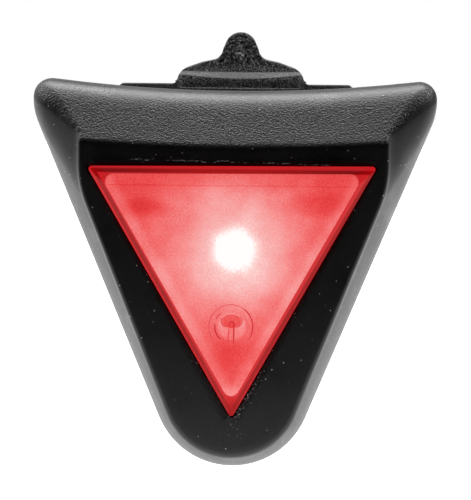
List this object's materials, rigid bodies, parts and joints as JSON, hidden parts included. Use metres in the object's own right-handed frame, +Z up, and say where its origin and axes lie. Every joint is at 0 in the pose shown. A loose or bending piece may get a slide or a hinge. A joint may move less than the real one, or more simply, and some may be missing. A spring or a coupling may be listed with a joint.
{
  "type": "clip-on led safety light",
  "caption": "Wedge-shaped rubber safety light with a red press-to-switch triangular lens, rear coin-cell screw cap, snap stud and flexible hook tongue.",
  "frame": {"origin": "centre of the snap stud's foot, on the flat rear face", "axes": "+X across the light to the viewer's right, +Y out of the rear face along the snap stud (the lens faces -Y), +Z up towards the hook tongue"},
  "size_m": [0.0442, 0.018, 0.0475],
  "materials": {
    "soft_rubber": "matte, fine orange-peel grain, dusty",
    "black_plastic": "fine moulded texture",
    "hook_rubber": "matte, slightly rough",
    "red_lens": "frosted translucent red, lit from behind",
    "foam": "closed-cell foam",
    "white_plastic": "matt white",
    "board_green": "solder mask",
    "led_white": "matt white",
    "led_clear": "clear moulded dome",
    "chip_black": "moulded epoxy",
    "capacitor_tan": "ceramic",
    "switch_grey": "moulded",
    "spring_steel": "rolled sheet",
    "ivory_plastic": "moulded",
    "cell_steel": "satin nickel plate",
    "contact_gold": "plated phosphor bronze",
    "screw_steel": "zinc plate",
    "seal_red": "silicone"
  },
  "bodies": {
    "housing": {"rubber_housing": "soft_rubber", "front_frame": "black_plastic", "lens_gasket": "foam", "reflector": "white_plastic", "circuit_board": "board_green", "led_base": "led_white", "led_dome": "led_clear", "controller_chip": "chip_black", "chip_resistors": "chip_black", "capacitor": "capacitor_tan", "switch_body": "switch_grey", "switch_dome": "spring_steel", "battery_tray": "black_plastic", "coin_cell_can": "cell_steel", "coin_cell_seal": "chip_black", "coin_cell_cap": "cell_steel", "negative_contact": "contact_gold", "positive_contact": "contact_gold", "rear_cover": "black_plastic", "hook_plate": "hook_rubber", "snap_stud": "black_plastic", "housing_screws": "screw_steel"},
    "lens": {"lens": "red_lens"},
    "plunger": {"switch_plunger": "ivory_plastic"},
    "cap_seal": {"cap_seal_ring": "seal_red"},
    "cap": {"battery_cap": "black_plastic"}
  },
  "joints": [
    {"name": "lens_press", "type": "hinge", "parent": "housing", "child": "lens", "pos_m": [0, -0.00995, 0.0231], "axis": [1, 0, 0], "range_deg": [0, 1.22], "stiffness_Nm_per_rad": 0.43, "deforming": ["lens_gasket"]},
    {"name": "plunger_press", "type": "slide", "parent": "housing", "child": "plunger", "axis": [0, 1, 0], "range_m": [0, 0.00035], "deforming": ["switch_dome"]},
    {"name": "cap_lift", "type": "slide", "parent": "housing", "child": "cap_seal", "axis": [0, 1, 0], "range_m": [0, 0.0016]},
    {"name": "cap_turn", "type": "hinge", "parent": "cap_seal", "child": "cap", "pos_m": [0, 0, 0.0142], "axis": [0, 1, 0], "range_deg": [0, 720]}
  ],
  "couplings": [
    {"joint": "plunger_press", "follows": "lens_press", "m_per_rad": 0.01637},
    {"joint": "cap_lift", "follows": "cap_turn", "m_per_rad": 0.00011937}
  ]
}
